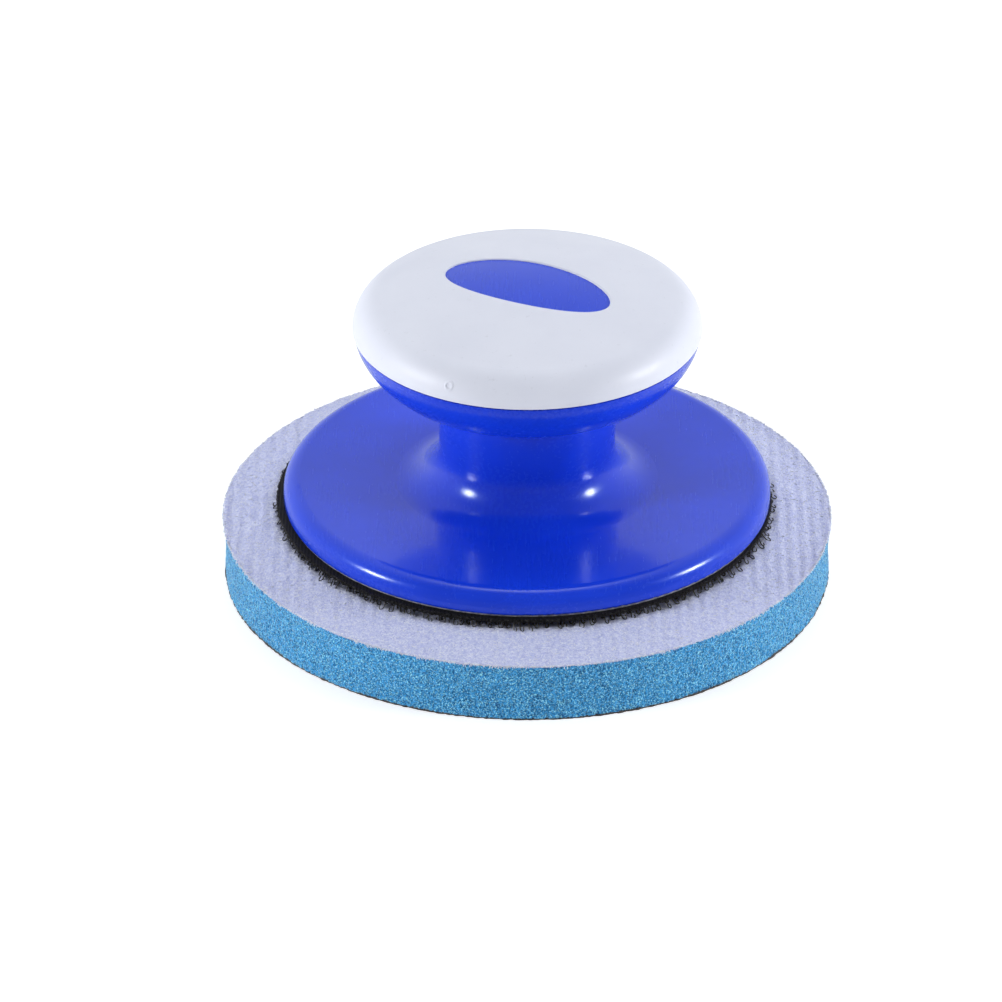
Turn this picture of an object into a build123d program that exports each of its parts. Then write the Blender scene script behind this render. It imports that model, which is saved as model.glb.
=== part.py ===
from build123d import *
import os
from math import asin, cos, degrees, radians, sin

# Round hand-held pad holder with a mushroom knob, and its foam-backed abrasive disc.
# Millimetres. +Z is up along the knob's axis. The origin is the centre of the working face,
# so the disc lies on the plane z = 0.

# ---------------------------------------------------------------- driving dimensions
DOME_Z = 45.2              # crown of the knob's dome, inside the window; the skin's top is at 45.0

# abrasive disc, from the working face upwards
PAD_RADIUS = 42.5
ABRASIVE_THICKNESS = 0.2
ABRASIVE_RADIUS = 42.35
FOAM_THICKNESS = 8.1
FOAM_RADIUS = 42.25
LOOP_THICKNESS = 0.2

# hook disc under the base plate
HOOK_HEIGHT = 2.05
TAPE_THICKNESS = 0.5
ADHESIVE_THICKNESS = 0.2
HOOK_RADIUS = 34.4
ADHESIVE_RADIUS = 33.6     # shows as a fine line under the plate's rounded low edge
HOOK_DISC_SHIFT = -0.4     # the disc is stuck on a little off centre, along X

# base plate
PLATE_RADIUS = 33.9
PLATE_EDGE_HEIGHT = 3.45   # at the rim, before it is rounded
PLATE_SINK = 0.9           # how much lower the plate's dished top lies at the neck
RIM_ROUND = 2.2
LOW_EDGE_ROUND = 0.4

# neck
NECK_RADIUS = 12.2
NECK_FOOT_ROUND = 5.8
NECK_TOP_ROUND = 1.2
NECK_WALL = 2.5            # at half height
NECK_DRAUGHT = 0.4         # how much wider than that its core is at the mouth
RELIEF_INNER_RADIUS = 12.8 # ring of pockets under the thick foot of the neck
RELIEF_OUTER_RADIUS = 17.5
RELIEF_DEPTH = 1.2
RELIEF_RIBS = 8
RIB_THICKNESS = 1.4

# bowl, the blue lower half of the knob
KNOB_RADIUS = 24.07
PARTING_Z = 37.4
BOWL_FLOOR_Z = 29.8
BOWL_CORNER_RADIUS = 18.5  # where the flat underside meets the bowl's flank
BOWL_CORNER_ROUND = 6.0
BOWL_SHOULDER_Z = 35.05    # where the flank meets the upright side
BOWL_SHOULDER_ROUND = 9.0
BOWL_WALL = 2.3
MOUTH_RADIUS = 21.8        # straight mouth at the top of the bowl, which centres the lid
MOUTH_DEPTH = 2.0
WEB_THICKNESS = 2.6        # the floor across the neck's top, which the screw clamps
CUT_AWAY_ROUND = 0.5       # on a corner of an outline that lies above the parting plane

# crown of the knob
CROWN_RADIUS = 69.0        # radius of curvature of the dome
CROWN_EDGE = 20.9          # where the dome turns into the rounded rim
SKIN_THICKNESS = 1.3
SKIN_GAP = 0.25            # shadow line between the skin's edge and the bowl
LID_THICKNESS = 2.4
LIP_THICKNESS = 1.6        # ring under the lid, inside the bowl's mouth
LIP_CLEARANCE = 0.1
LIP_ROOT = 0.4             # how far the ring runs up into the lid

# oval island of the lid, seen through the skin's window
OVAL_LENGTH = 24.4
OVAL_WIDTH = 11.7
OVAL_TURN = -25.75         # degrees about Z, from +X
OVAL_SHIFT_Y = -0.9
OVAL_RECESS = 0.25         # how far the island stops below the skin's surface
WINDOW_LIP_ROUND = 0.2

# lid screw
SCREW_LENGTH = 10.0
SCREW_HEAD_RADIUS = 2.8
SCREW_HEAD_HEIGHT = 2.1
SCREW_CREST_RADIUS = 1.5
SCREW_CORE_RADIUS = 1.15
SCREW_PITCH = 1.1
SCREW_HOLE_RADIUS = 1.7
BOSS_RADIUS = 4.0
BOSS_CLEARANCE = 0.1       # above the web, so that the screw pulls the lid down on the bowl's rim
PILOT_RADIUS = 1.3
PILOT_SPARE = 0.6          # depth of the pilot hole past the screw's point
CREST_HALF_WIDTH = 0.3
POINT_LENGTH = 0.8
HEAD_ROUND = 0.8
RECESS_LENGTH = 3.2        # cross recess in the head
RECESS_WIDTH = 0.7
RECESS_DEPTH = 1.3

# ---------------------------------------------------------------- heights that follow
FOAM_Z = ABRASIVE_THICKNESS
LOOP_Z = FOAM_Z + FOAM_THICKNESS
HOOK_Z = LOOP_Z + LOOP_THICKNESS
TAPE_Z = HOOK_Z + HOOK_HEIGHT
ADHESIVE_Z = TAPE_Z + TAPE_THICKNESS
PLATE_Z = ADHESIVE_Z + ADHESIVE_THICKNESS
PLATE_EDGE_Z = PLATE_Z + PLATE_EDGE_HEIGHT
PLATE_FOOT_Z = PLATE_EDGE_Z - PLATE_SINK
WEB_Z = BOWL_FLOOR_Z
WEB_TOP_Z = WEB_Z + WEB_THICKNESS


# ---------------------------------------------------------------- helpers
def turned(section):
    """A section drawn with x as the radius and y as the height, turned about Z."""
    return revolve(Plane.XZ * section, Axis.Z, 360)


def disc(radius, z, thickness, shift=0.0):
    return Pos(shift, 0, z) * Cylinder(radius, thickness, align=(Align.CENTER, Align.CENTER, Align.MIN))


def rib(length, z, height):
    """An upright plate from the axis outwards along X."""
    return Pos(0, 0, z) * Box(length, RIB_THICKNESS, height, align=(Align.MIN, Align.CENTER, Align.MIN))


def filled_outline(points, rounds):
    """A section from an outline that starts and ends on the axis, with its corners rounded."""
    outline = FilletPolyline(*points, radius=rounds)
    return make_face([outline, Line(points[-1], points[0])])


def crown(inset):
    """The knob's closed form above the parting plane, every wall moved in by inset."""
    slope = degrees(asin(CROWN_EDGE / CROWN_RADIUS))
    rim_radius = (KNOB_RADIUS - CROWN_EDGE) / (1 - sin(radians(slope)))
    dome_centre = DOME_Z - CROWN_RADIUS
    rim_centre = dome_centre + (CROWN_RADIUS - rim_radius) * cos(radians(slope))
    dome = CenterArc((0, dome_centre), CROWN_RADIUS - inset, 90 - slope, slope)
    rim = CenterArc((KNOB_RADIUS - rim_radius, rim_centre), rim_radius - inset, 0, 90 - slope)
    rest = Polyline(rim @ 0, (KNOB_RADIUS - inset, PARTING_Z), (0, PARTING_Z), dome @ 1)
    return turned(make_face([dome, rim, rest]))


def oval_column():
    """An upright oval column from the parting plane to past the crown."""
    column = extrude(Ellipse(OVAL_LENGTH / 2, OVAL_WIDTH / 2), DOME_Z - PARTING_Z + 1)
    return Pos(0, OVAL_SHIFT_Y, PARTING_Z) * Rot(0, 0, OVAL_TURN) * column


# ---------------------------------------------------------------- the abrasive disc
def abrasive_face():
    return disc(ABRASIVE_RADIUS, 0, ABRASIVE_THICKNESS)


def foam_disc():
    return disc(FOAM_RADIUS, FOAM_Z, FOAM_THICKNESS)


def loop_fabric():
    return disc(PAD_RADIUS, LOOP_Z, LOOP_THICKNESS)


# ---------------------------------------------------------------- the hook disc
def hook_pile():
    return disc(HOOK_RADIUS, HOOK_Z, HOOK_HEIGHT, HOOK_DISC_SHIFT)


def hook_tape():
    return disc(HOOK_RADIUS, TAPE_Z, TAPE_THICKNESS, HOOK_DISC_SHIFT)


def hook_adhesive():
    return disc(ADHESIVE_RADIUS, ADHESIVE_Z, ADHESIVE_THICKNESS)


# ---------------------------------------------------------------- the blue moulding
def body_envelope():
    """Outer form of plate, neck and bowl, up to the parting plane."""
    outline = [
        (0, PLATE_Z),
        (PLATE_RADIUS, PLATE_Z),
        (PLATE_RADIUS, PLATE_EDGE_Z),
        (NECK_RADIUS, PLATE_FOOT_Z),
        (NECK_RADIUS, BOWL_FLOOR_Z),
        (BOWL_CORNER_RADIUS, BOWL_FLOOR_Z),
        (KNOB_RADIUS, BOWL_SHOULDER_Z),
        (KNOB_RADIUS, DOME_Z),
        (0, DOME_Z),
    ]
    rounds = [
        LOW_EDGE_ROUND, RIM_ROUND, NECK_FOOT_ROUND, NECK_TOP_ROUND,
        BOWL_CORNER_ROUND, BOWL_SHOULDER_ROUND, CUT_AWAY_ROUND,
    ]
    form = turned(filled_outline(outline, rounds))
    return form - disc(2 * KNOB_RADIUS, PARTING_Z, DOME_Z)


def bowl_hollow():
    """The inside of the bowl, an even wall away from its outside, open at the parting plane."""
    wall = BOWL_WALL
    corner_step = 0.4 * wall     # how far a corner of the flank moves along its other wall
    outline = [
        (0, WEB_TOP_Z),
        (BOWL_CORNER_RADIUS - corner_step, WEB_TOP_Z),
        (KNOB_RADIUS - wall, BOWL_SHOULDER_Z + corner_step),
        (KNOB_RADIUS - wall, DOME_Z),
        (0, DOME_Z),
    ]
    rounds = [BOWL_CORNER_ROUND - wall, BOWL_SHOULDER_ROUND - wall, CUT_AWAY_ROUND]
    hollow = turned(filled_outline(outline, rounds))
    return hollow + disc(MOUTH_RADIUS, PARTING_Z - MOUTH_DEPTH, MOUTH_DEPTH)


def neck_core():
    """The tapered hollow in the neck, open below, that takes the screwdriver."""
    depth = WEB_Z - PLATE_Z
    middle = NECK_RADIUS - NECK_WALL
    core = Cone(middle + NECK_DRAUGHT, middle - NECK_DRAUGHT, depth)
    return Pos(0, 0, PLATE_Z + depth / 2) * core


def foot_relief():
    """Ring of shallow pockets under the neck's thick foot, with radial ribs left between them."""
    ring = disc(RELIEF_OUTER_RADIUS, PLATE_Z, RELIEF_DEPTH)
    ring -= disc(RELIEF_INNER_RADIUS, PLATE_Z, RELIEF_DEPTH)
    for k in range(RELIEF_RIBS):
        ring -= Rot(0, 0, 360 / RELIEF_RIBS * (k + 0.5)) * rib(PLATE_RADIUS, PLATE_Z, RELIEF_DEPTH)
    return ring


def handle_body():
    body = body_envelope() - bowl_hollow() - neck_core() - foot_relief()
    return body - disc(SCREW_HOLE_RADIUS, WEB_Z - 1, WEB_THICKNESS + 2)


# ---------------------------------------------------------------- the knob's lid and skin
def lid_lip():
    """Ring that drops into the bowl's mouth and centres the lid."""
    outer = MOUTH_RADIUS - LIP_CLEARANCE
    foot = PARTING_Z - MOUTH_DEPTH + 2 * LIP_CLEARANCE
    height = PARTING_Z + LIP_ROOT - foot
    return disc(outer, foot, height) - disc(outer - LIP_THICKNESS, foot, height)


def screw_boss():
    """Column under the lid that the screw bites into, steadied by four gussets."""
    foot = WEB_TOP_Z + BOSS_CLEARANCE
    gussets = [
        Rot(0, 0, 90 * k + OVAL_TURN) * rib(MOUTH_RADIUS - LIP_THICKNESS, PARTING_Z, DOME_Z - PARTING_Z)
        for k in range(4)
    ]
    upper = disc(BOSS_RADIUS, PARTING_Z, DOME_Z - PARTING_Z) + gussets
    upper &= crown(SKIN_THICKNESS + LID_THICKNESS / 2)
    return upper + disc(BOSS_RADIUS, foot, PARTING_Z - foot)


def knob_lid():
    shell = crown(SKIN_THICKNESS) - crown(SKIN_THICKNESS + LID_THICKNESS)
    island = oval_column() & crown(OVAL_RECESS)
    lid = shell + (island - crown(SKIN_THICKNESS + LID_THICKNESS)) + lid_lip() + screw_boss()
    return lid - disc(PILOT_RADIUS, WEB_TOP_Z, SCREW_LENGTH - WEB_THICKNESS + PILOT_SPARE)


def grip_skin():
    """The soft skin over the lid, with the window's upper edge rounded."""
    skin = crown(0) - crown(SKIN_THICKNESS) - oval_column()
    skin -= disc(2 * KNOB_RADIUS, PARTING_Z, SKIN_GAP)
    window_wall = skin.faces().filter_by(lambda face: abs(face.normal_at().Z) < 0.01 and face.area < 200)
    lip = window_wall.edges().group_by(Axis.Z)[-1]
    return fillet(lip, WINDOW_LIP_ROUND)


# ---------------------------------------------------------------- the screw
def screw_shank():
    """Shank from under the head to its point, with one ring crest for each pitch of the thread."""
    outline = [(0, WEB_Z), (SCREW_CORE_RADIUS, WEB_Z)]
    for k in range(1, int(SCREW_LENGTH // SCREW_PITCH)):
        z = WEB_Z + k * SCREW_PITCH
        outline += [
            (SCREW_CORE_RADIUS, z - CREST_HALF_WIDTH),
            (SCREW_CREST_RADIUS, z),
            (SCREW_CORE_RADIUS, z + CREST_HALF_WIDTH),
        ]
    tip_z = WEB_Z + SCREW_LENGTH
    outline += [(SCREW_CORE_RADIUS, tip_z - POINT_LENGTH), (0, tip_z)]
    return turned(make_face(Polyline(*outline, close=True)))


def lid_screw():
    foot = WEB_Z - SCREW_HEAD_HEIGHT
    head = disc(SCREW_HEAD_RADIUS, foot, SCREW_HEAD_HEIGHT)
    head = fillet(head.edges().group_by(Axis.Z)[0], HEAD_ROUND)
    for angle in (0, 90):
        slot = Box(RECESS_LENGTH, RECESS_WIDTH, RECESS_DEPTH, align=(Align.CENTER, Align.CENTER, Align.MIN))
        head -= Pos(0, 0, foot) * Rot(0, 0, angle) * slot
    return head + screw_shank()


# ---------------------------------------------------------------- written out, one file a node
PIECES = [
    abrasive_face, foam_disc, loop_fabric,
    hook_pile, hook_tape, hook_adhesive,
    handle_body, knob_lid, grip_skin, lid_screw,
]

os.makedirs("parts", exist_ok=True)
for piece in PIECES:
    export_step(piece(), f"parts/{piece.__name__}.step")
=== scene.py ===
from math import cos, pi, radians, sin, tau

import bpy
import numpy as np
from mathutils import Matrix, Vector


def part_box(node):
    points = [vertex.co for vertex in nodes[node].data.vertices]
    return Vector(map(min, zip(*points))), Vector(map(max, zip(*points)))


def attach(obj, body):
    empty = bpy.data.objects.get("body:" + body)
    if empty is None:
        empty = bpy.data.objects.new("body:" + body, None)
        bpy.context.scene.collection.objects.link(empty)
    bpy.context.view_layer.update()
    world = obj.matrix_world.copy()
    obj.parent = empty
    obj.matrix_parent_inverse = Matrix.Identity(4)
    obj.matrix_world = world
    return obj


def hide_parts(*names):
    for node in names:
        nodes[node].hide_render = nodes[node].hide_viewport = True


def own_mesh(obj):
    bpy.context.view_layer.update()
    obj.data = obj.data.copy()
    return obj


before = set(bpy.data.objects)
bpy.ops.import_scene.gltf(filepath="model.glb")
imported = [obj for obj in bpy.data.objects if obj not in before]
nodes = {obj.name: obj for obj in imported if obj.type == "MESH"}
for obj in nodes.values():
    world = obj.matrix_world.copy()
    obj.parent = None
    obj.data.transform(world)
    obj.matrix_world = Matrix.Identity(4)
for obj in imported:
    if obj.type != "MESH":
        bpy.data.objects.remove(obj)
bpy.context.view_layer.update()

# Round knob pad holder on its foam-backed disc. Metres, +Z up, the front towards -Y.
MM = 0.001
UP = np.array([0, 0, 1.0])


# ---------------------------------------------------------------- numbers from the frame
def node_box(node):
    low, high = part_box(node)
    return np.array(low, float), np.array(high, float)


def disc_of(node):
    """(radius, centre x, lowest z, highest z) of a flat round node."""
    low, high = node_box(node)
    return (high[0] - low[0]) / 2, (high[0] + low[0]) / 2, low[2], high[2]


# ---------------------------------------------------------------- noise for real relief
HASH_STEPS = (374761393, 668265263, 2147483647)     # large odd numbers, one for each axis
HASH_MIXER = 1274126177
HASH_RANGE = 0xFFFFFF


def lattice(cells, seed):
    """Even random values from 0 to 1 for whole-number cells."""
    h = sum(cells[..., axis] * step for axis, step in enumerate(HASH_STEPS)) + seed * HASH_MIXER
    h = (h ^ (h >> 13)) * HASH_MIXER
    h = (h ^ (h >> 16)) & HASH_RANGE
    return h / HASH_RANGE


def soft_noise(points, size, seed):
    """Smooth noise from -1 to 1 whose bumps are about size across."""
    scaled = np.asarray(points) / size
    base = np.floor(scaled).astype(np.int64)
    t = scaled - base
    t = t * t * (3 - 2 * t)
    total = 0.0
    for corner in np.ndindex(2, 2, 2):
        offset = np.array(corner)
        weight = np.prod(np.where(offset == 1, t, 1 - t), axis=-1)
        total = total + weight * lattice(base + offset, seed)
    return 2 * total - 1


def ripple(points, size, depth, seed):
    """Smooth relief: bumps and hollows about size across, at most depth high or low."""
    return soft_noise(points, size, seed) * depth


def cell_noise(points, size, seed):
    """Distance to the nearest of one random point per cell, in cells: 0 at a point, near 1 between."""
    scaled = np.asarray(points) / size
    base = np.floor(scaled).astype(np.int64)
    nearest = np.full(scaled.shape[:-1], np.inf)
    for shift in np.ndindex(3, 3, 3):
        cell = base + np.array(shift) - 1
        spot = cell + np.stack([lattice(cell, seed + k) for k in range(3)], axis=-1)
        nearest = np.minimum(nearest, np.linalg.norm(scaled - spot, axis=-1))
    return nearest


def cones(points, size, reach, slope, seed):
    """Round relief at random points, one to a cell: reach is in cells, and slope in metres per cell."""
    return np.clip(reach - cell_noise(points, size, seed), 0, 1) * slope


# ---------------------------------------------------------------- mesh helpers
def make_piece(name, points, faces, material, body):
    mesh = bpy.data.meshes.new(name)
    mesh.from_pydata(np.asarray(points).tolist(), [], [list(map(int, face)) for face in faces])
    mesh.polygons.foreach_set("use_smooth", [True] * len(mesh.polygons))
    mesh.materials.append(material)
    mesh.update()
    piece = bpy.data.objects.new(name, mesh)
    bpy.context.scene.collection.objects.link(piece)
    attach(piece, body)
    return piece


def mark_points(piece, name, values):
    """Store one number for each point, which the piece's material reads by name."""
    attribute = piece.data.attributes.new(name, "FLOAT", "POINT")
    attribute.data.foreach_set("value", values.reshape(-1).astype(np.float32))


def with_height(plan, z):
    """Points over a plan of (x, y), at one height or at one each."""
    return np.column_stack([plan, np.broadcast_to(z, len(plan))])


def level_way(angle):
    """Level unit vectors at angles from +X."""
    return np.stack([np.cos(angle), np.sin(angle), np.zeros(len(angle))], axis=1)


def band_faces(rows, columns):
    """Quads of a closed band: rows of points one above the other, each row a ring of columns."""
    r, c = np.meshgrid(np.arange(rows - 1), np.arange(columns), indexing="ij")
    n = (c + 1) % columns
    lower, upper = r * columns, (r + 1) * columns
    return np.stack([lower + c, lower + n, upper + n, upper + c], axis=-1).reshape(-1, 4).tolist()


def end_caps(rows, columns):
    """The two faces that close such a band, at its first ring and at its last."""
    ring = np.arange(columns)
    return [ring[::-1].tolist(), (ring + (rows - 1) * columns).tolist()]


def ring_faces(upper, lower):
    """Quads between two rings of point numbers."""
    return np.stack([upper, np.roll(upper, -1), np.roll(lower, -1), lower], axis=1).tolist()


def turned_points(outline, columns):
    """Rings of points from (radius, z) pairs."""
    way = level_way(np.arange(columns) * tau / columns)
    return np.stack([way * radius + UP * z for radius, z in outline])


def strand_mesh(paths, normals, radii, corners=4):
    """Tubes along many flat curves. paths is strands x steps x 3, and normals are the curves' planes'."""
    tangent = np.gradient(paths, axis=1)
    tangent /= np.linalg.norm(tangent, axis=2, keepdims=True)
    across = np.broadcast_to(normals[:, None, :], paths.shape)
    over = np.cross(tangent, across)
    angles = (np.arange(corners) + 0.5) * tau / corners
    ring = (across[:, :, None, :] * np.cos(angles)[:, None]
            + over[:, :, None, :] * np.sin(angles)[:, None])
    points = paths[:, :, None, :] + ring * np.asarray(radii)[None, :, None, None]
    strands, steps = paths.shape[:2]
    first = (np.arange(strands) * steps * corners)[:, None, None]
    tubes = (np.array(band_faces(steps, corners)) + first).reshape(-1, 4)
    ends = (np.array(end_caps(steps, corners)) + first).reshape(-1, corners)
    return points.reshape(-1, 3), tubes.tolist() + ends.tolist()


# ---------------------------------------------------------------- material helpers
WAVE_LENGTH = tau / 20                      # a band texture of scale 1 repeats over this length
MIX_FACTOR, MIX_A, MIX_B, MIX_RESULT = 0, 6, 7, 2       # the colour sockets of a Mix node


def add_node(tree, kind, inputs=None, **settings):
    """A node with its settings. An input is either a value or another node's output, which is linked."""
    node = tree.nodes.new(kind)
    for key, value in settings.items():
        setattr(node, key, value)
    for key, value in (inputs or {}).items():
        if isinstance(value, bpy.types.NodeSocket):
            tree.links.new(value, node.inputs[key])
        else:
            node.inputs[key].default_value = value
    return node


class Shader:
    """A node material built in short steps. Places are the piece's own coordinates, in metres."""

    def __init__(self, name, **surface):
        self.material = bpy.data.materials.new(name)
        self.material.use_nodes = True
        self.tree = self.material.node_tree
        self.surface = self.tree.nodes["Principled BSDF"]
        for socket, value in surface.items():
            self.surface.inputs[socket.replace("_", " ")].default_value = value
        self.place = self.add("ShaderNodeTexCoord").outputs["Object"]

    def add(self, kind, inputs=None, **settings):
        return add_node(self.tree, kind, inputs, **settings)

    def stretched(self, x, y, z):
        node = self.add("ShaderNodeMapping", {"Vector": self.place, "Scale": (x, y, z)})
        return node.outputs["Vector"]

    def noise(self, size, detail=2.0, rough=0.5, place=None):
        inputs = {"Vector": place or self.place, "Scale": 1 / size, "Detail": detail, "Roughness": rough}
        return self.add("ShaderNodeTexNoise", inputs).outputs["Fac"]

    def cells(self, size, output="Distance"):
        node = self.add("ShaderNodeTexVoronoi", {"Vector": self.place, "Scale": 1 / size})
        return node.outputs[output]

    def waves(self, size, distortion, direction):
        inputs = {"Vector": self.place, "Scale": WAVE_LENGTH / size, "Distortion": distortion}
        node = self.add("ShaderNodeTexWave", inputs, wave_type="BANDS", bands_direction=direction)
        return node.outputs["Fac"]

    def marked(self, name):
        """The number stored for each point by mark_points."""
        return self.add("ShaderNodeAttribute", attribute_name=name).outputs["Fac"]

    def ramp(self, value, low, high, at=(0.0, 1.0)):
        node = self.add("ShaderNodeValToRGB", {"Fac": value})
        for element, position, colour in zip(node.color_ramp.elements, at, (low, high)):
            element.position = position
            element.color = (*colour, 1)
        return node.outputs["Color"]

    def fit(self, value, low, high, at=(0.0, 1.0)):
        inputs = {"Value": value, "From Min": at[0], "From Max": at[1], "To Min": low, "To Max": high}
        return self.add("ShaderNodeMapRange", inputs).outputs["Result"]

    def mix(self, factor, first, second):
        """first where factor is 0, second where it is 1. second is a plain colour."""
        inputs = {MIX_FACTOR: factor, MIX_A: first, MIX_B: (*second, 1)}
        return self.add("ShaderNodeMix", inputs, data_type="RGBA").outputs[MIX_RESULT]

    def maths(self, operation, first, second):
        return self.add("ShaderNodeMath", {0: first, 1: second}, operation=operation).outputs[0]

    def colour(self, socket):
        self.tree.links.new(socket, self.surface.inputs["Base Color"])

    def roughness(self, socket, layer=""):
        self.tree.links.new(socket, self.surface.inputs[layer + "Roughness"])

    def bumps(self, *layers):
        """Each layer is (height socket, depth in metres)."""
        normal = None
        for height, depth in layers:
            inputs = {"Height": height, "Distance": depth, "Strength": 1.0}
            if normal is not None:
                inputs["Normal"] = normal
            normal = self.add("ShaderNodeBump", inputs).outputs["Normal"]
        self.tree.links.new(normal, self.surface.inputs["Normal"])
        self.tree.links.new(normal, self.surface.inputs["Coat Normal"])


# ---------------------------------------------------------------- materials
def blue_plastic():
    """Saturated glossy moulding: a crisp skin over a soft glow, faint flow ripple, hairline scratches."""
    cold = (0.74, 0.93, 1.0, 1)
    deep, bright = (0.0057, 0.041, 0.64), (0.0082, 0.053, 0.76)
    s = Shader("blue plastic", IOR=1.5, Specular_IOR_Level=0.30, Specular_Tint=cold,
               Coat_Weight=0.52, Coat_IOR=1.5, Coat_Tint=cold)
    s.colour(s.ramp(s.noise(14 * MM, 3), deep, bright, (0.3, 0.7)))
    scratches = s.noise(0.5 * MM, 1, place=s.stretched(1.0, 0.06, 1.0))
    wear = s.maths("MULTIPLY", scratches, s.noise(9 * MM, 4, 0.6))
    s.roughness(s.fit(wear, 0.24, 0.31, (0.12, 0.5)))
    s.roughness(s.fit(wear, 0.08, 0.12, (0.12, 0.5)), "Coat ")
    s.bumps((s.noise(3.5 * MM, 1), 0.008 * MM), (scratches, 0.0003 * MM))
    return s.material


def white_skin():
    """Soft-touch rubber: fine mould grain, faint cloudy tint and a few handling specks."""
    cloudy, clean, speck = (0.735, 0.765, 0.880), (0.775, 0.805, 0.915), (0.42, 0.44, 0.50)
    s = Shader("white skin", IOR=1.46)
    base = s.ramp(s.noise(11 * MM, 3), cloudy, clean, (0.3, 0.7))
    specks = s.fit(s.noise(0.8 * MM, 2, 0.6), 0.0, 0.22, (0.66, 0.80))
    s.colour(s.mix(specks, base, speck))
    s.roughness(s.fit(s.noise(2.2 * MM, 4, 0.6), 0.34, 0.46, (0.3, 0.7)))
    s.bumps((s.noise(4 * MM, 2), 0.02 * MM), (s.cells(0.16 * MM), 0.003 * MM))
    return s.material


def loop_cloth(name, pale, dark):
    """Brushed loop fabric: lavender white, mottled by the matted loops, with painted shade in small gaps,
    painted glints, and a painted shadow along the hooks' edge.
    """
    # dust is the violet of the painted shadow that the hooks cast on the cloth, not real dust
    gap_shade, glint_highlight, dust = (0.24, 0.29, 0.52), (0.97, 0.98, 1.0), (0.13, 0.12, 0.27)
    s = Shader(name, IOR=1.45, Sheen_Weight=0.15, Sheen_Roughness=0.6)
    mottle, grain = s.noise(0.50 * MM, 4, 0.75), s.noise(0.20 * MM, 2, 0.6)
    base = s.ramp(mottle, dark, pale, (0.36, 0.58))
    base = s.mix(s.fit(s.cells(0.28 * MM), 0.0, 0.50, (0.25, 0.80)), base, dark)
    # painted shade in the small gaps between the loops
    base = s.mix(s.fit(grain, 0.0, 0.70, (0.58, 0.74)), base, gap_shade)
    # painted glints: bright specks that stand in for highlights on the fibres
    base = s.mix(s.fit(grain, 0.60, 0.0, (0.28, 0.43)), base, glint_highlight)
    # painted shadow: the cloth turns violet along the hooks' edge and a little under them
    hook_shadow_mask = s.maths("MULTIPLY", s.marked("painted_hook_shadow"), s.fit(mottle, 0.65, 0.05, (0.35, 0.60)))
    s.colour(s.mix(hook_shadow_mask, base, dust))
    s.roughness(s.fit(mottle, 0.80, 0.96))
    matted = s.noise(0.30 * MM, 3, 0.7, s.stretched(1.0, 0.45, 1.0))
    s.bumps((matted, 0.12 * MM), (grain, 0.05 * MM))
    return s.material


def blue_foam():
    """Cut open-cell foam: painted highlights on the strut ends over mid blue, and painted shade in the cells
    that the cut opened.
    """
    shade, blue, faded = (0.003, 0.075, 0.255), (0.046, 0.360, 0.770), (0.060, 0.400, 0.820)
    strut_glint, pit_shade = (0.34, 0.84, 1.0), (0.003, 0.055, 0.190)
    s = Shader("blue foam", IOR=1.4, Sheen_Weight=0.75, Sheen_Roughness=0.30,
               Sheen_Tint=(0.80, 0.95, 1.0, 1))
    web, ends = s.noise(0.26 * MM, 2, 0.65), s.noise(0.20 * MM, 1, 0.6)
    # painted shade between the struts: the web noise runs from dark shade to mid blue
    base = s.ramp(web, shade, blue, (0.36, 0.57))
    base = s.mix(s.fit(s.noise(6 * MM, 3), 0.0, 0.20, (0.35, 0.75)), base, faded)
    # painted highlights on the strut ends
    base = s.mix(s.fit(ends, 0.0, 0.95, (0.53, 0.68)), base, strut_glint)
    # painted shade in the pits, darker where a pit is deeper
    s.colour(s.mix(s.fit(s.marked("pit"), 0.0, 0.70, (0.20, 0.85)), base, pit_shade))
    s.roughness(s.fit(ends, 0.90, 0.60))
    s.bumps((web, 0.10 * MM), (s.cells(0.20 * MM), 0.07 * MM))
    return s.material


def abrasive_cloth():
    """Closed coat of fine grit in dark resin on cloth: each grain a facet with its own shade."""
    grain = 0.17 * MM
    dark, light, rubbed = (0.010, 0.009, 0.009), (0.085, 0.075, 0.070), (0.11, 0.10, 0.095)
    s = Shader("abrasive cloth", IOR=1.6)
    shade = s.add("ShaderNodeSeparateColor", {"Color": s.cells(grain, "Color")}).outputs[0]
    base = s.ramp(shade, dark, light, (0.1, 1.0))
    s.colour(s.mix(s.fit(s.noise(5 * MM, 4, 0.6), 0.0, 0.35, (0.45, 0.75)), base, rubbed))
    s.roughness(s.fit(shade, 0.30, 0.75))
    s.bumps((s.cells(grain), 0.07 * MM), (s.noise(1.6 * MM, 2), 0.05 * MM))
    return s.material


def hook_nylon():
    """Black-brown monofilament with a hard glint."""
    black, brown = (0.002, 0.0018, 0.0016), (0.012, 0.009, 0.007)
    s = Shader("hook nylon", IOR=1.53)
    s.colour(s.ramp(s.noise(0.9 * MM, 2), black, brown, (0.35, 0.70)))
    s.roughness(s.fit(s.noise(0.4 * MM, 2), 0.26, 0.46))
    s.bumps((s.noise(0.15 * MM, 2), 0.006 * MM))
    return s.material


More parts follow.
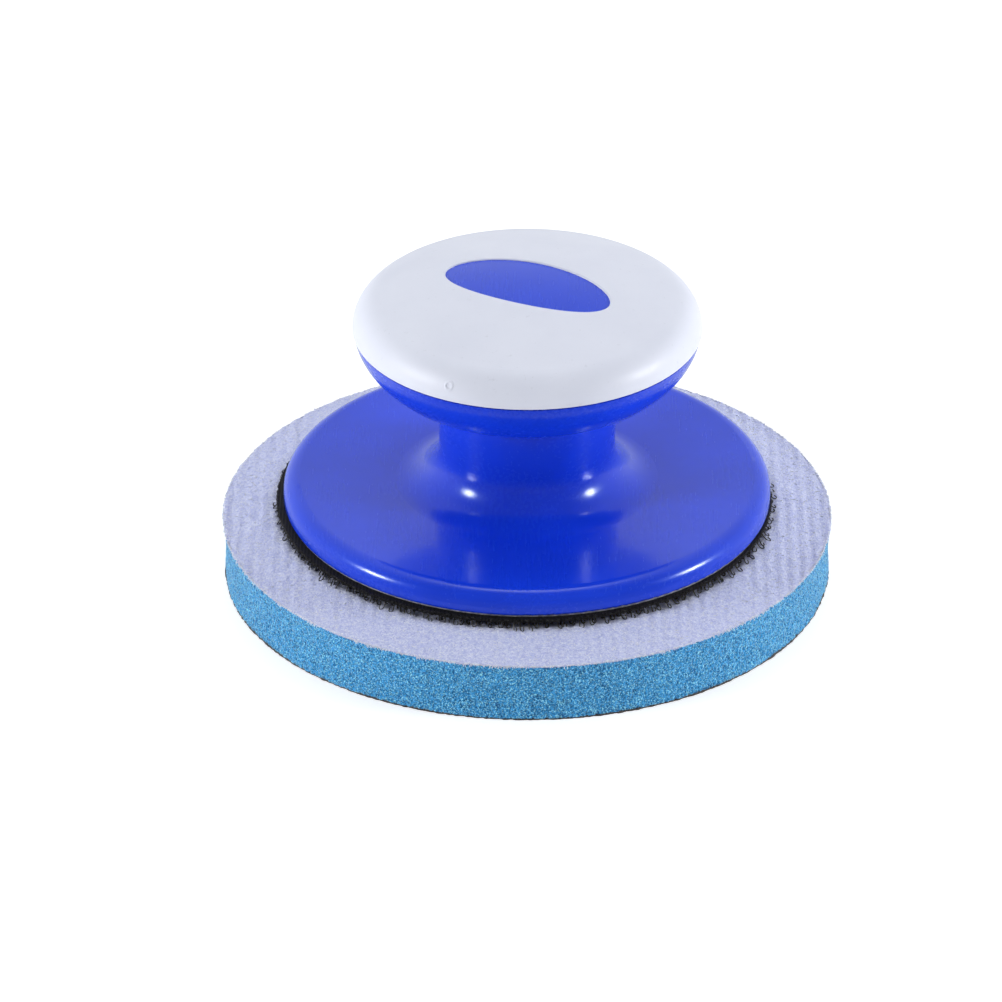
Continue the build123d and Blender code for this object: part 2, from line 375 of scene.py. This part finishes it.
def woven_tape():
    """Black ribbon weave behind the hooks: warp and weft threads cross in small steps."""
    black, thread_highlight, dust = (0.0015, 0.0015, 0.0015), (0.008, 0.0075, 0.007), (0.03, 0.029, 0.028)
    s = Shader("woven tape", IOR=1.4, Specular_IOR_Level=0.3)
    weave = s.maths("MAXIMUM", s.waves(0.46 * MM, 0.4, "X"), s.waves(0.34 * MM, 0.4, "Y"))
    # painted highlight: the raised thread crowns are coloured lighter than the sunk ones
    threads = s.ramp(weave, black, thread_highlight, (0.35, 0.95))
    s.colour(s.mix(s.fit(s.noise(3 * MM, 4, 0.6), 0.0, 0.12, (0.5, 0.8)), threads, dust))
    s.roughness(s.fit(weave, 0.85, 0.55))
    s.bumps((weave, 0.09 * MM), (s.noise(0.07 * MM, 2), 0.02 * MM))
    return s.material


def adhesive_film():
    """Milky acrylic film, seen only as a thin edge under the rim."""
    thick, thin = (0.30, 0.30, 0.38), (0.62, 0.62, 0.70)
    s = Shader("adhesive film", IOR=1.47, Transmission_Weight=0.25)
    s.colour(s.ramp(s.noise(0.7 * MM, 3), thick, thin, (0.40, 0.65)))
    s.roughness(s.fit(s.noise(0.3 * MM, 2), 0.25, 0.5))
    s.bumps((s.noise(0.25 * MM, 2), 0.02 * MM))
    return s.material


def zinc_steel():
    """Zinc-plated screw: bluish passivation, turned marks round the axis."""
    bluish, plain = (0.50, 0.51, 0.56), (0.68, 0.67, 0.66)
    s = Shader("zinc steel", Metallic=1.0)
    s.colour(s.ramp(s.noise(1.2 * MM, 3), bluish, plain, (0.3, 0.7)))
    turned = s.waves(0.08 * MM, 1.5, "Z")
    s.roughness(s.fit(turned, 0.26, 0.44))
    s.bumps((turned, 0.004 * MM))
    return s.material


def studio_floor():
    """Pale translucent table, lit a little from beneath."""
    cool, plain = (0.52, 0.52, 0.525), (0.55, 0.55, 0.55)
    s = Shader("studio floor", Roughness=0.6, Emission_Color=(1, 1, 1, 1), Emission_Strength=0.68)
    s.colour(s.ramp(s.noise(0.3, 2), cool, plain))
    return s.material


BLUE = blue_plastic()
WHITE = white_skin()
CLOTH = loop_cloth("loop cloth", pale=(0.735, 0.775, 0.945), dark=(0.45, 0.50, 0.81))
FIBRE = loop_cloth("loop fibre", pale=(0.95, 0.96, 0.99), dark=(0.78, 0.81, 0.93))
FOAM = blue_foam()
GRIT = abrasive_cloth()
NYLON = hook_nylon()
NODE_MATERIALS = {
    "handle_body": BLUE,
    "knob_lid": BLUE,
    "grip_skin": WHITE,
    "hook_tape": woven_tape(),
    "hook_adhesive": adhesive_film(),
    "lid_screw": zinc_steel(),
}


def finish_nodes():
    """Give each kept CAD node its material."""
    for node, material in NODE_MATERIALS.items():
        for slot in nodes[node].material_slots:
            slot.material = material


# ---------------------------------------------------------------- the foam and the abrasive
FOAM_ROWS, FOAM_COLUMNS = 44, 2200
FOAM_WAIST = 0.15 * MM          # how far the die drags the soft wall in at its middle
CUT_WANDER = 0.10 * MM          # how far the die's cut wanders in and out over a few millimetres
CUT_ROUGHNESS = 0.05 * MM       # and over less than one
GRIT_GRID = 230                 # points along each side of the abrasive's grid
CHIPPED_EDGE = 0.6 * MM         # width of the abrasive's broken edge


def foam_pad():
    """Foam disc with real pits all round its cut wall. Its flat faces are glued over, so they stay flat."""
    radius, _, low, high = disc_of("foam_disc")
    wall = turned_points([(radius, z) for z in np.linspace(low, high, FOAM_ROWS)], FOAM_COLUMNS)
    pits = cones(wall, 0.38 * MM, 0.60, 0.42 * MM, seed=3) + cones(wall, 0.80 * MM, 0.45, 0.14 * MM, seed=11)
    wander = ripple(wall, 5 * MM, CUT_WANDER, seed=21) + ripple(wall, 0.8 * MM, CUT_ROUGHNESS, seed=23)
    height = (wall[..., 2] - low) / (high - low)
    waist = FOAM_WAIST * np.sin(pi * height) ** 2
    wall[..., :2] *= (1 - (pits - wander + waist) / radius)[..., None]
    faces = band_faces(FOAM_ROWS, FOAM_COLUMNS) + end_caps(FOAM_ROWS, FOAM_COLUMNS)
    piece = make_piece("foam_pad", wall.reshape(-1, 3), faces, FOAM, "sole")
    # pit depths, which the foam's material uses for painted shade in the pits
    mark_points(piece, "pit", pits / pits.max())
    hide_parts("foam_disc")
    return piece


def round_grid(count, radius):
    """count x count points spread evenly over a disc, the numbers of its edge in order, and all of them."""
    a, b = np.meshgrid(np.linspace(-1, 1, count), np.linspace(-1, 1, count), indexing="ij")
    wide = np.abs(a) > np.abs(b)
    r = np.where(wide, a, b)
    with np.errstate(divide="ignore", invalid="ignore"):
        angle = np.where(wide, pi / 4 * b / a, pi / 2 - pi / 4 * a / b)
    angle = np.nan_to_num(angle)
    xy = np.stack([r * np.cos(angle), r * np.sin(angle)], axis=-1) * radius
    index = np.arange(count * count).reshape(count, count)
    edge = np.concatenate([index[0, :-1], index[:-1, -1], index[-1, :0:-1], index[:0:-1, 0]])
    return xy.reshape(-1, 2), edge, index


def grid_faces(index):
    quads = np.stack([index[:-1, :-1], index[1:, :-1], index[1:, 1:], index[:-1, 1:]], axis=-1)
    return quads.reshape(-1, 4).tolist()


def edge_share(xy, radius, width):
    """0 inside the disc, rising to 1 across the last width before its edge."""
    return np.clip((np.hypot(xy[:, 0], xy[:, 1]) - radius + width) / width, 0, 1)


def abrasive_sheet():
    """Abrasive cloth under the foam: gritty face down, with a slightly chipped edge."""
    radius, _, low, high = disc_of("abrasive_face")
    xy, edge, index = round_grid(GRIT_GRID, radius)
    flat = with_height(xy, 0)
    near_edge = edge_share(xy, radius, CHIPPED_EDGE)
    chipped = near_edge * (ripple(flat, 0.5 * MM, 0.12 * MM, seed=53) - 0.08 * MM)
    face = flat * (1 + chipped / radius)[:, None]
    face[:, 2] = low + cones(flat, 0.7 * MM, 0.6, 0.06 * MM, seed=51)
    back = with_height(face[edge, :2], high)
    back_edge = len(face) + np.arange(len(edge))
    faces = [quad[::-1] for quad in grid_faces(index)]
    faces += ring_faces(back_edge, edge)
    faces.append(back_edge[::-1].tolist())
    points = np.concatenate([face, back])
    piece = make_piece("abrasive_sheet", points, faces, GRIT, "sole")
    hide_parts("abrasive_face")


# ---------------------------------------------------------------- the loop fabric
CLOTH_GRID = 285                # points along each side of the fabric's grid
SOFT_EDGE = 0.9 * MM            # width of the frayed edge that turns down
TURNED_DOWN = 0.10 * MM         # and how far down it turns
RIB_PITCH = 1.75 * MM
RIB_DEPTH = 0.17 * MM
NAP_SWELL = 1.25 * MM           # how far the loops that the hooks draw up stand above the cut edge
PRESSED_WIDTH = 1.5 * MM        # the hooks bear fully on the cloth from this far inside their edge
SWELL_LOST, RELIEF_LOST = 0.35, 0.6     # shares of the swell and of the ribs that they flatten
HOOK_SHADOW_WIDTH = 1.3 * MM         # painted shadow of the hooks, reaching this far out from their edge
HOOK_SHADOW_BENEATH = 0.25           # and this much painted shadow under them
NAP_COUNT, NAP_THICKNESS = 5400, 0.07 * MM
FRINGE_COUNT, FRINGE_THICKNESS = 3800, 0.10 * MM
FIBRE_TAPER = np.array([1.0, 1.0, 0.9, 0.75, 0.5])      # thickness at each step along a fibre
FIBRE_SINK = 0.05 * MM          # how deep the fibres' roots are


def cloth_height(xy, high):
    """Height of the brushed face: ribs along Y, matted loops, flattened where the hooks bear on it."""
    flat = with_height(xy, 0)
    drift = ripple(flat, 7 * MM, 0.25 * MM, seed=31)
    rib = 0.5 + 0.5 * np.cos(tau * (xy[:, 0] + drift) / RIB_PITCH)
    strength = 0.6 + ripple(flat, 9 * MM, 0.4, seed=33)
    hook_radius, hook_x, _, _ = disc_of("hook_tape")
    reach = np.hypot(xy[:, 0] - hook_x, xy[:, 1])
    outer = disc_of("loop_fabric")[0]
    pressed = np.clip((hook_radius - reach) / PRESSED_WIDTH, 0, 1)
    rise = np.clip((outer - reach) / (outer - hook_radius), 0, 1)
    swell = NAP_SWELL * rise * rise * (3 - 2 * rise)
    matted = ripple(flat, 0.62 * MM, 0.045 * MM, seed=35) + ripple(flat, 1.7 * MM, 0.05 * MM, seed=37)
    relief = (rib - 0.8) * RIB_DEPTH * strength + matted
    return high + swell * (1 - SWELL_LOST * pressed) + relief * (1 - RELIEF_LOST * pressed)


def cloth_top(xy, radius, high):
    """The brushed face, frayed and turned down a little at its edge."""
    top = with_height(xy, cloth_height(xy, high))
    near_edge = edge_share(xy, radius, SOFT_EDGE)
    top[:, 2] -= TURNED_DOWN * near_edge ** 2
    frayed = ripple(top, 0.50 * MM, 0.16 * MM, seed=41) + ripple(top, 5 * MM, 0.07 * MM, seed=43)
    top[:, :2] *= (1 + near_edge * (frayed - 0.05 * MM) / radius)[:, None]
    return top


def cut_rings(rim, radius, low):
    """Two ragged rings below the rim, half way down the cut edge and at its foot."""
    rings = []
    for share in (0.5, 1.0):
        ring = rim.copy()
        ring[:, 2] += (low - rim[:, 2]) * share
        ragged = ripple(ring, 0.45 * MM, 0.10 * MM, seed=47) - 0.10 * MM * share
        ring[:, :2] *= (1 + ragged / radius)[:, None]
        rings.append(ring)
    return rings


def hook_shadow_share(points):
    """How much painted shadow the cloth gets: most along the edge of the hooks, a little under them, none
    further out.
    """
    hook_radius, hook_x, _, _ = disc_of("hook_tape")
    beyond = np.hypot(points[:, 0] - hook_x, points[:, 1]) - hook_radius
    least = np.where(beyond < 0, HOOK_SHADOW_BENEATH, 0.0)
    return np.clip(1 - np.abs(beyond) / HOOK_SHADOW_WIDTH, least, 1)


def loop_sheet():
    """The loop fabric: one closed sheet with ribs, a frayed round cut and a soft turned-down edge."""
    radius, _, low, high = disc_of("loop_fabric")
    xy, edge, index = round_grid(CLOTH_GRID, radius)
    top = cloth_top(xy, radius, high)
    points = np.concatenate([top] + cut_rings(top[edge], radius, low))
    middle = len(top) + np.arange(len(edge))
    foot = middle + len(edge)
    faces = grid_faces(index) + ring_faces(edge, middle) + ring_faces(middle, foot) + [foot.tolist()]
    piece = make_piece("loop_sheet", points, faces, CLOTH, "pad_top")
    # per-point share of the painted shadow round the hooks, read by the cloth's material
    mark_points(piece, "painted_hook_shadow", hook_shadow_share(points))
    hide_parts("loop_fabric")


def fibre_piece(name, roots, way, lift, reach, turn, thickness):
    """Fibres that rise from their roots and bend over towards way, in flat curves."""
    t = np.linspace(0, 1, len(FIBRE_TAPER))[None, :, None]
    bend = np.sin(turn[:, None, None] * t)
    paths = roots[:, None] + way[:, None] * reach[:, None, None] * bend + UP * lift[:, None, None] * t
    points, faces = strand_mesh(paths, np.cross(way, UP), FIBRE_TAPER * thickness / 2)
    make_piece(name, points, faces, FIBRE, "pad_top")


def loop_nap(rng):
    """Loose fibres that stand out of the fabric's open ring, round the hooks."""
    radius, _, _, high = disc_of("loop_fabric")
    hook_radius = disc_of("hook_tape")[0]
    count = NAP_COUNT
    angle = rng.uniform(0, tau, count)
    span = np.sqrt(rng.uniform((hook_radius - 1 * MM) ** 2, (radius - 0.3 * MM) ** 2, count))
    xy = (level_way(angle) * span[:, None])[:, :2]
    roots = with_height(xy, cloth_height(xy, high) - FIBRE_SINK)
    way = level_way(rng.uniform(0, tau, count))
    lift = rng.uniform(0.04, 0.20, count) * MM
    reach = rng.uniform(0.25, 0.75, count) * MM
    turn = rng.uniform(1.2, 2.8, count)
    fibre_piece("loop_nap", roots, way, lift, reach, turn, NAP_THICKNESS)


def loop_fringe(rng):
    """Thread ends that stand out of the fabric's cut edge, further in some clumps than between them."""
    radius, _, low, high = disc_of("loop_fabric")
    count = FRINGE_COUNT
    angle = rng.uniform(0, tau, count)
    depth = rng.uniform(0, 1, count) ** 1.3
    roots = level_way(angle) * (radius - 0.25 * MM - 0.1 * MM * depth)[:, None]
    roots[:, 2] = high - FIBRE_SINK - (high - low) * 0.8 * depth
    clump = soft_noise(roots, 1.6 * MM, seed=61) > 0.1
    lift = rng.uniform(-0.40, 0.20, count) * np.where(clump, 1.2, 0.35) * MM
    reach = rng.uniform(0.12, 0.42, count) * MM
    way = level_way(angle + rng.normal(0, 0.8, count))
    turn = rng.uniform(1.0, 2.6, count)
    fibre_piece("loop_fringe", roots, way, lift, reach, turn, FRINGE_THICKNESS)


def loop_fibres():
    rng = np.random.default_rng(5)
    loop_nap(rng)
    loop_fringe(rng)


# ---------------------------------------------------------------- the hook disc
HOOK_PITCH = 1.27 * MM
ROW_SPACING = 0.92              # of the pitch
HOOK_THICKNESS = 0.23 * MM
HOOK_SINK = 0.05 * MM           # how deep the hooks' roots are in the tape
HOOK_TURN = radians(235)        # how far a curl turns back
HOOK_TIP = 0.75                 # of the thickness
BARE_RIM = 0.70 * MM            # left free for the edge curls
EDGE_ROWS = 3.4 * MM            # hooks this near the rim are seen, so they are shorter and rounder
EDGE_PITCH = 1.15 * MM
EDGE_THICKNESS = 0.17 * MM
FUZZ_COUNT = 1300
FUZZ_STEPS = 8
FUZZ_RADIUS = 0.055 * MM


def hook_paths(roots, heading, drop, curl, lean, steps):
    """J hooks, a leaning stem downwards and a curl that turns back up, and the normals of their planes."""
    stem_steps = steps // 3
    t = np.linspace(0, 1, stem_steps, endpoint=False)[None, :, None]
    turn = np.linspace(0, HOOK_TURN, steps - stem_steps)[None, :, None]
    way = level_way(heading)
    stem, size = (drop - curl)[:, None, None], curl[:, None, None]
    upright = roots[:, None] - UP * (t * stem)
    foot = roots[:, None] - UP * stem
    curled = foot + way[:, None] * size * (1 - np.cos(turn)) - UP * size * np.sin(turn)
    paths = np.concatenate([upright, curled], axis=1)
    fall = (roots[:, None, 2] - paths[:, :, 2])[..., None] / drop[:, None, None]
    return paths + lean[:, None] * fall, np.cross(way, -UP)


def hook_piece(name, roots, heading, drop, curl, lean, steps, corners, thickness):
    paths, normals = hook_paths(roots, heading, drop, curl, lean, steps)
    radii = np.full(steps, thickness / 2)
    radii[-1] *= HOOK_TIP
    points, faces = strand_mesh(paths, normals, radii, corners)
    piece = make_piece(name, points, faces, NYLON, "holder")
    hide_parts("hook_pile")


def hook_spots(radius, rng):
    """Places and headings of the hooks, in the weave's rows. The two ways of curling alternate by row."""
    half = int(radius / HOOK_PITCH) + 1
    i, j = np.meshgrid(np.arange(-half, half + 1), np.arange(-half, half + 1), indexing="ij")
    spots = np.stack([i + 0.5 * (j % 2), j * ROW_SPACING], axis=-1).reshape(-1, 2) * HOOK_PITCH
    heading = np.where(j % 2 == 0, 0.0, pi).reshape(-1) + rng.normal(0, 0.55, len(spots))
    spots += rng.normal(0, 0.10 * MM, spots.shape)
    inside = np.hypot(spots[:, 0], spots[:, 1]) < radius - BARE_RIM
    return spots[inside], heading[inside]


def hooks():
    """Every hook of the disc but the outermost."""
    radius, centre, low, high = disc_of("hook_pile")
    rng = np.random.default_rng(9)
    spots, heading = hook_spots(radius, rng)
    count, reach = len(spots), np.hypot(spots[:, 0], spots[:, 1])
    roots = with_height(spots + [centre, 0], high + HOOK_SINK)
    at_rim = np.clip((reach - radius + EDGE_ROWS) / EDGE_ROWS, 0, 1)
    drop = (high - low) * (rng.uniform(0.78, 0.96, count) - 0.52 * at_rim)
    curl = rng.uniform(0.22, 0.28, count) * MM
    splay = at_rim * rng.uniform(0.0, 0.55, count) * MM
    outwards = spots * (splay / reach)[:, None]
    lean = with_height(outwards + rng.normal(0, 0.09 * MM, (count, 2)), 0)
    rim = reach > radius - EDGE_ROWS
    for name, chosen, steps, corners in (("rim_hooks", rim, 15, 6), ("field_hooks", ~rim, 9, 4)):
        hook_piece(name, roots[chosen], heading[chosen], drop[chosen], curl[chosen], lean[chosen],
                   steps, corners, HOOK_THICKNESS)


def edge_curls():
    """The outermost hooks, one to each rib of the tape, splayed over the cloth where they can be counted."""
    radius, centre, low, high = disc_of("hook_pile")
    rng = np.random.default_rng(15)
    count = int(tau * radius / EDGE_PITCH)
    out = level_way((np.arange(count) + rng.uniform(-0.28, 0.28, count)) * tau / count)
    inset = rng.uniform(0.05, 0.35, count) * MM
    roots = out * (radius - inset)[:, None] + [centre, 0, high + 0.1 * MM]
    drop = (high - low) * rng.uniform(0.40, 0.54, count)
    curl = rng.uniform(0.24, 0.33, count) * MM
    splay = rng.uniform(0.15, 0.80, count) * MM
    lean = out * splay[:, None] + rng.normal(0, 0.12 * MM, (count, 3)) * [1, 1, 0]
    heading = np.where(rng.uniform(0, 1, count) < 0.75, 0.0, pi) + rng.normal(0, 0.4, count)
    hook_piece("edge_curls", roots, heading, drop, curl, lean, 12, 5, EDGE_THICKNESS)


def tape_fuzz():
    """Small loops of cut thread that stand out of the tape's edge."""
    radius, centre, low, high = disc_of("hook_tape")
    rng = np.random.default_rng(17)
    out = level_way(rng.uniform(0, tau, FUZZ_COUNT))
    roots = out * (radius - 0.08 * MM) + [centre, 0, 0]
    roots[:, 2] = rng.uniform(low, high - 0.02 * MM, FUZZ_COUNT)
    tilt = rng.uniform(0, tau, FUZZ_COUNT)[:, None]
    side = np.cross(UP, out) * np.cos(tilt) + UP * np.sin(tilt)
    turn = np.linspace(0, 1, FUZZ_STEPS)[None, :, None] * rng.uniform(2.2, 4.2, FUZZ_COUNT)[:, None, None]
    size = (rng.uniform(0.08, 0.20, FUZZ_COUNT) * MM)[:, None, None]
    outwards = out[:, None] * size * 1.2 * np.sin(turn)
    paths = roots[:, None] + outwards + side[:, None] * size * (1 - np.cos(turn))
    paths[..., 2] = np.clip(paths[..., 2], low - 0.3 * MM, high - 0.02 * MM)
    points, faces = strand_mesh(paths, np.cross(out, side), np.full(FUZZ_STEPS, FUZZ_RADIUS))
    make_piece("tape_fuzz", points, faces, NYLON, "holder")


# ---------------------------------------------------------------- the holder
GATE_NEAR = Vector((-10.5, -21.1, 39.7)) * MM   # the mark is where the skin is nearest to this place
GATE_OUTLINE = [(0.02, -0.06), (0.26, -0.05), (0.42, 0.12), (0.52, 0.15), (0.64, 0.08), (0.82, -0.08)]
GATE_COLUMNS = 28


def gate_vestige():
    """The little ring that the moulding gate leaves on the front left of the white rim."""
    skin = nodes["grip_skin"]
    _, spot, normal, _ = skin.closest_point_on_mesh(skin.matrix_world.inverted() @ GATE_NEAR)
    tilt = Vector(UP).rotation_difference(normal)
    rings = turned_points([(r * MM, z * MM) for r, z in GATE_OUTLINE], GATE_COLUMNS).reshape(-1, 3)
    points = [list(skin.matrix_world @ (tilt @ Vector(point) + spot)) for point in rings]
    inner_cap, _ = end_caps(len(GATE_OUTLINE), GATE_COLUMNS)
    faces = band_faces(len(GATE_OUTLINE), GATE_COLUMNS) + [inner_cap]
    make_piece("gate_vestige", points, faces, WHITE, "holder")


# ---------------------------------------------------------------- studio
CAMERA_DISTANCE = 0.900
CAMERA_ELEVATION = 28.85
LENS = 233.0                    # millimetres on a 36 mm sensor
AIM = Vector((-3.60, -4.19, 12.40)) * MM        # the object sits right of and above the picture's middle
ORBIT_CENTRE = Vector((0, 0, 20)) * MM
LIGHT_DISTANCE = 1.0
LIGHT_FADE = ((0.0, 1.0), (0.18, 0.62), (0.32, 0.15), (0.42, 0.03), (0.50, 0.0))    # (offset, level)
FLOOR_REACH = 3.0
FLOOR_TOP = -0.02 * MM          # just under the grit, which stands on it


def from_front(azimuth, elevation):
    """Unit vector towards a place round the object. Azimuth is from the front, positive to the right."""
    a, e = radians(azimuth), radians(elevation)
    return Vector((sin(a) * cos(e), -cos(a) * cos(e), sin(e)))


def softbox(name, azimuth, elevation, size, radiance):
    """A square soft light with a hot middle that fades to its edge."""
    data = bpy.data.lights.new(name, "AREA")
    data.shape, data.size, data.size_y = "RECTANGLE", size, size
    data.energy = radiance * pi * size * size
    data.use_nodes = True
    tree = data.node_tree
    place = add_node(tree, "ShaderNodeNewGeometry").outputs["Parametric"]
    off_centre = {0: place, 1: (0.5, 0.5, 0)}
    offset = add_node(tree, "ShaderNodeVectorMath", off_centre, operation="DISTANCE").outputs["Value"]
    fade = add_node(tree, "ShaderNodeValToRGB", {"Fac": offset})
    fade.color_ramp.interpolation = "EASE"
    while len(fade.color_ramp.elements) < len(LIGHT_FADE):
        fade.color_ramp.elements.new(0.5)
    for element, (position, level) in zip(fade.color_ramp.elements, LIGHT_FADE):
        element.position, element.color = position, (level, level, level, 1)
    tree.links.new(fade.outputs["Color"], tree.nodes["Emission"].inputs["Color"])
    light = bpy.data.objects.new(name, data)
    bpy.context.scene.collection.objects.link(light)
    way = from_front(azimuth, elevation)
    light.location = way * LIGHT_DISTANCE + ORBIT_CENTRE
    light.rotation_euler = (-way).to_track_quat("-Z", "Y").to_euler()


def studio_world(front, back, sides):
    """Even light, brighter from behind the object, and a little from its sides, than from the front."""
    world = bpy.data.worlds.new("studio")
    world.use_nodes = True
    tree = world.node_tree
    place = add_node(tree, "ShaderNodeTexCoord").outputs["Generated"]
    split = add_node(tree, "ShaderNodeSeparateXYZ", {0: place}).outputs
    sideways = add_node(tree, "ShaderNodeMath", {0: split["X"]}, operation="ABSOLUTE").outputs[0]
    around = add_node(tree, "ShaderNodeMath", {0: sideways, 1: sides, 2: split["Y"]},
                      operation="MULTIPLY_ADD").outputs[0]
    spread = {"Value": around, "From Min": -0.25, "From Max": 0.50, "To Min": front, "To Max": back}
    level = add_node(tree, "ShaderNodeMapRange", spread, interpolation_type="SMOOTHSTEP").outputs["Result"]
    tree.links.new(level, tree.nodes["Background"].inputs["Strength"])
    tree.nodes["Background"].inputs["Color"].default_value = (0.97, 0.985, 1.0, 1)
    bpy.context.scene.world = world


def floor():
    mesh = bpy.data.meshes.new("floor")
    signs = ((-1, -1), (1, -1), (1, 1), (-1, 1))
    corners = [(x * FLOOR_REACH, y * FLOOR_REACH, FLOOR_TOP) for x, y in signs]
    mesh.from_pydata(corners, [], [(0, 1, 2, 3)])
    mesh.materials.append(studio_floor())
    plane = bpy.data.objects.new("floor", mesh)
    bpy.context.scene.collection.objects.link(plane)
    plane.visible_glossy = False


def studio():
    floor()
    studio_world(front=0.18, back=0.80, sides=0.22)
    softbox("left box", azimuth=-73, elevation=19, size=0.42, radiance=51)
    softbox("right box", azimuth=81, elevation=19, size=0.42, radiance=53)
    softbox("overhead", azimuth=180, elevation=74, size=0.90, radiance=3.2)
    bpy.context.scene.view_settings.view_transform = "Standard"


def camera():
    data = bpy.data.cameras.new("camera")
    data.lens, data.sensor_width = LENS, 36.0
    data.clip_start, data.clip_end = 0.05, 20
    view = bpy.data.objects.new("camera", data)
    bpy.context.scene.collection.objects.link(view)
    view.location = ORBIT_CENTRE + from_front(0, CAMERA_ELEVATION) * CAMERA_DISTANCE
    view.rotation_euler = (AIM - view.location).to_track_quat("-Z", "Y").to_euler()
    bpy.context.scene.camera = view


# ---------------------------------------------------------------- the whole
camera()
studio()
foam = foam_pad()
loop_sheet()
loop_fibres()
abrasive_sheet()
hooks()
edge_curls()
tape_fuzz()
gate_vestige()
finish_nodes()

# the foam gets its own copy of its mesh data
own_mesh(foam)
